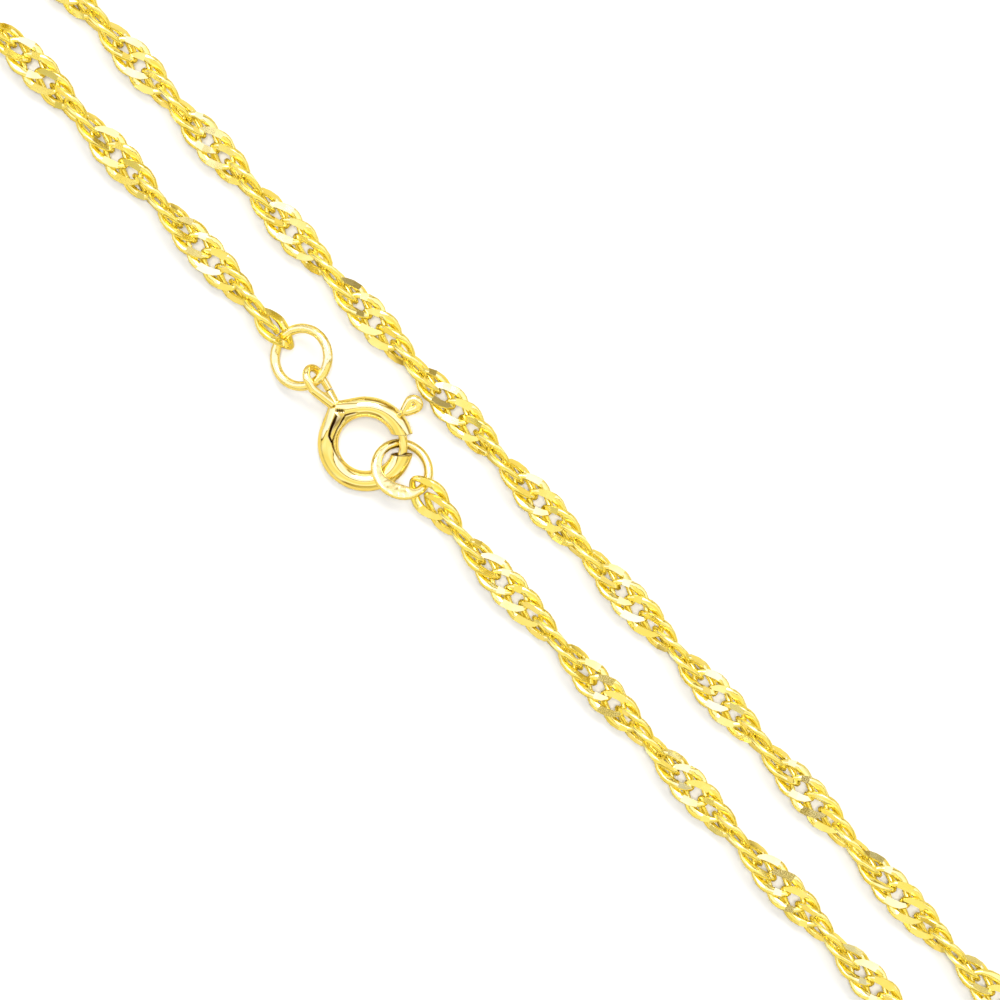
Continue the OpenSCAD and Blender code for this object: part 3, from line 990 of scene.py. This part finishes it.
def worked_metal_group():
    """Shared finish of worked gold. It puts out the colour, the roughness and the relief's height.

    Soft Patches drift between the Bright and the Deep colour, and fine polishing Lines run along the
    wire. Dullness is the roughness that these start from. The polish mark smooths, and it also paints
    light: where it is 0 the colour is the Deep one, painted shade on the chain's uncut wire, while its
    cut flats keep the paler drifting tone, a painted sheen. The dirt-and-shade mark darkens to brown,
    dirt with painted shade, Hammered roughens with small round blows, and Tone is a link's own share of
    the Deep colour.
    """
    group = bpy.data.node_groups.new("worked_metal", "ShaderNodeTree")
    add_metal_sockets(group)
    given = group.nodes.new("NodeGroupInput").outputs
    result = group.nodes.new("NodeGroupOutput").inputs
    place = add_node(group, "ShaderNodeTexCoord").outputs["Object"]
    patches = add_node(group, "ShaderNodeTexNoise", Vector=place, Scale=given["Patches"], Detail=3.0)
    spread = add_node(
        group, "ShaderNodeMapRange", Value=patches.outputs["Fac"],
        From_Min=PATCH_EDGES[0], From_Max=PATCH_EDGES[1], To_Max=1 - TONE_SHARE,
    )
    drift = maths(group, "MULTIPLY_ADD", given["Tone"], TONE_SHARE, spread.outputs["Result"])
    tone = mixed(group, drift, given["Bright"], given["Deep"])
    # Painted light: the uncut wire takes the Deep colour as painted shade, the cut flats the paler
    # drifting tone as a painted sheen
    tone = mixed(group, given["Polish_and_sheen"], given["Deep"], tone)
    # Painted shade and dirt: the clasp's mark mixes the colour towards dark brown
    give(group, result["Colour"], mixed(group, given["Shade_and_dirt"], tone, SHADE_AND_DIRT_COLOUR))

    wire = add_node(group, "ShaderNodeUVMap", {"uv_map": "UVMap"}).outputs["UV"]
    stretched = add_node(group, "ShaderNodeMapping", Vector=wire, Scale=LINE_STRETCH).outputs["Vector"]
    lines = add_node(group, "ShaderNodeTexNoise", Vector=stretched, Scale=given["Lines"], Detail=4.0)
    rough = maths(group, "MULTIPLY_ADD", lines.outputs["Fac"], LINES_ROUGHEN, given["Dullness"])
    for mark, amount in MARKS_ROUGHEN:
        rough = maths(group, "MULTIPLY_ADD", given[mark], amount, rough)
    give(group, result["Roughness"], maths(group, "ADD", rough, UNPOLISHED_ROUGHENS))

    blows = add_node(
        group, "ShaderNodeTexVoronoi", {"feature": "SMOOTH_F1"}, Vector=place, Scale=BLOWS_SCALE
    )
    struck = maths(group, "MULTIPLY", given["Hammered"], blows.outputs["Distance"])
    height = maths(group, "MULTIPLY_ADD", lines.outputs["Fac"], LINES_PART, patches.outputs["Fac"])
    give(group, result["Height"], maths(group, "MULTIPLY_ADD", struck, BLOWS_PART, height))
    return group


def new_material(name):
    """An empty node material, its tree and its shader."""
    material = bpy.data.materials.new(name)
    material.use_nodes = True
    tree = material.node_tree
    tree.nodes.clear()
    shader = add_node(tree, "ShaderNodeBsdfPrincipled")
    add_node(tree, "ShaderNodeOutputMaterial", Surface=shader.outputs["BSDF"])
    return material, tree, shader


def gold_material(name, metal_group, marks, bright, deep, patches, lines, dullness, relief):
    """Polished yellow gold with the shared finish; marks name the mesh attributes that steer it."""
    material, tree, shader = new_material(name)
    metal = add_node(
        tree, "ShaderNodeGroup", {"node_tree": metal_group},
        Bright=bright, Deep=deep, Patches=patches, Lines=lines, Dullness=dullness,
    )
    for socket, attribute in marks.items():
        mark = add_node(tree, "ShaderNodeAttribute", {"attribute_name": attribute})
        give(tree, metal.inputs[socket], mark.outputs["Fac"])
    bump = add_node(
        tree, "ShaderNodeBump",
        Strength=relief, Distance=RELIEF_DEPTH * MM, Height=metal.outputs["Height"],
    )
    give(tree, shader.inputs["Base Color"], metal.outputs["Colour"])
    give(tree, shader.inputs["Roughness"], metal.outputs["Roughness"])
    give(tree, shader.inputs["Normal"], bump.outputs["Normal"])
    give(tree, shader.inputs["Metallic"], 1.0)
    return material


def build_floor():
    """A plain pale surface under the necklace."""
    mesh = bpy.data.meshes.new("pale_surface")
    half = FLOOR_HALF * MM
    corners = [(-half, -half, 0), (half, -half, 0), (half, half, 0), (-half, half, 0)]
    mesh.from_pydata(corners, [], [(0, 1, 2, 3)])
    material, tree, shader = new_material("pale_surface")
    ray = add_node(tree, "ShaderNodeLightPath")
    # Painted reflection: the metal sees the floor in a darker golden tone than the camera does
    colour = mixed(tree, ray.outputs["Is Glossy Ray"], FLOOR_COLOUR, PAINTED_FLOOR_REFLECTION)
    give(tree, shader.inputs["Base Color"], colour)
    give(tree, shader.inputs["Roughness"], FLOOR_ROUGHNESS)
    give(tree, shader.inputs["Specular IOR Level"], FLOOR_SHINE)
    mesh.materials.append(material)
    surface = bpy.data.objects.new("pale_surface", mesh)
    bpy.context.scene.collection.objects.link(surface)


def build_camera():
    """Straight down on the necklace from far enough to look flat, turned as the photograph is.

    The picture shows the colours as they are worked out, without a film's look.
    """
    data = bpy.data.cameras.new("camera")
    data.sensor_width = SENSOR_WIDTH
    data.lens = SENSOR_WIDTH * CAMERA_HEIGHT / VIEW_WIDTH
    data.clip_start = CAMERA_REACH[0] * MM
    data.clip_end = CAMERA_REACH[1] * MM
    camera = bpy.data.objects.new("camera", data)
    place = Matrix.Translation((VIEW_MIDDLE[0] * MM, VIEW_MIDDLE[1] * MM, CAMERA_HEIGHT * MM))
    bpy.context.scene.collection.objects.link(camera)
    camera.matrix_world = place @ Matrix.Rotation(np.radians(VIEW_TURN), 4, "Z")
    bpy.context.scene.camera = camera
    bpy.context.scene.view_settings.view_transform = "Standard"
    bpy.context.scene.view_settings.look = "None"


def colour_ramp(tree, value, stops):
    """A colour ramp over (place, colour) stops, its places between 0 and 1."""
    ramp = add_node(tree, "ShaderNodeValToRGB", Fac=value)
    elements = ramp.color_ramp.elements
    while len(elements) < len(stops):
        elements.new(0.5)
    for element, (at, colour) in zip(elements, stops):
        element.position = at
        element.color = (*colour, 1)
    return ramp.outputs["Color"]


def studio_colour(tree):
    """Colour of the room by direction: the ramp across it times the ramp upwards, a little uneven."""
    place = add_node(tree, "ShaderNodeTexCoord").outputs["Generated"]
    uneven = add_node(tree, "ShaderNodeTexNoise", Vector=place, Scale=ROOM_PATCH, Detail=2.0)
    across = add_node(tree, "ShaderNodeVectorMath", {"operation": "DOT_PRODUCT"})
    give(tree, across.inputs[0], place)
    give(tree, across.inputs[1], (WINDOW_SIDE[0] / 2, WINDOW_SIDE[1] / 2, 0))
    wander = maths(tree, "MULTIPLY_ADD", uneven.outputs["Fac"], ROOM_UNEVEN, 0.5 - ROOM_UNEVEN / 2)
    moved = maths(tree, "ADD", across.outputs["Value"], wander)
    height = add_node(tree, "ShaderNodeSeparateXYZ", Vector=place).outputs["Z"]
    sideways = colour_ramp(tree, moved, [((at + 1) / 2, colour) for at, colour in ACROSS_STOPS])
    upwards = colour_ramp(tree, height, [(at, (grey, grey, grey)) for at, grey in UPWARD_STOPS])
    return mixed(tree, 1.0, sideways, upwards, blend="MULTIPLY")


def build_world():
    """The studio for the metal's reflections, and a dim plain room for all else."""
    world = bpy.data.worlds.new("studio")
    world.use_nodes = True
    tree = world.node_tree
    tree.nodes.clear()
    studio = add_node(tree, "ShaderNodeBackground", Color=studio_colour(tree), Strength=ROOM_STRENGTH)
    dim = add_node(tree, "ShaderNodeBackground", Color=DIM_ROOM_COLOUR, Strength=DIM_ROOM_STRENGTH)
    ray = add_node(tree, "ShaderNodeLightPath")
    shown = add_node(tree, "ShaderNodeMixShader", Fac=ray.outputs["Is Glossy Ray"])
    give(tree, shown.inputs[1], dim.outputs["Background"])
    give(tree, shown.inputs[2], studio.outputs["Background"])
    add_node(tree, "ShaderNodeOutputWorld", Surface=shown.outputs["Shader"])
    bpy.context.scene.world = world


def add_lamp(name, kind, heading, power, colour):
    """A lamp of a kind that shines along its heading."""
    data = bpy.data.lights.new(name, kind)
    data.energy = power
    data.color = colour
    lamp = bpy.data.objects.new(name, data)
    lamp.rotation_mode = "QUATERNION"
    lamp.rotation_quaternion = Vector(heading).to_track_quat("-Z", "Y")
    bpy.context.scene.collection.objects.link(lamp)
    return lamp


def far_lamp(name, heading, spread, power, colour):
    """A wide far lamp that lights the floor and isn't seen in the metal."""
    lamp = add_lamp(name, "SUN", heading, power, colour)
    lamp.data.angle = np.radians(spread)
    lamp.visible_glossy = False


def build_lamps():
    """The window, which stands to one side and faces the necklace, and the two far lamps."""
    sideways = WINDOW["distance"] * np.array(WINDOW_SIDE)
    offset = Vector((*sideways, WINDOW["height"])) * MM
    window = add_lamp("window", "AREA", -offset, WINDOW["power"], WINDOW["colour"])
    window.location = Vector((VIEW_MIDDLE[0] * MM, 0, 0)) + offset
    window.data.size = WINDOW["size"] * MM
    far_lamp("overhead", **OVERHEAD_LAMP)
    far_lamp("slanting", **SLANTING_LAMP)


worked_metal = worked_metal_group()
# The chain's cut flats are painted with a paler sheen and its uncut wire with a deeper shade
chain_gold = gold_material("chain_gold", worked_metal, {"Polish_and_sheen": "cut", "Tone": "tone"}, **CHAIN_FINISH)
ring_gold = gold_material("ring_gold", worked_metal, {"Hammered": "hammered"}, **RING_FINISH)
# The clasp's mark: painted shade in its hollows, bore, rims and sawn ends, with some dirt in the hollows
clasp_gold = gold_material("clasp_gold", worked_metal, {"Shade_and_dirt": "shade_and_dirt"}, **CLASP_FINISH)

build_camera()
build_world()
build_lamps()
build_floor()
build_chain(chain_gold)
build_jump_ring(ring_gold)
build_connector_ring(ring_gold)
build_clasp_body(clasp_gold)
build_clasp_trigger(clasp_gold)
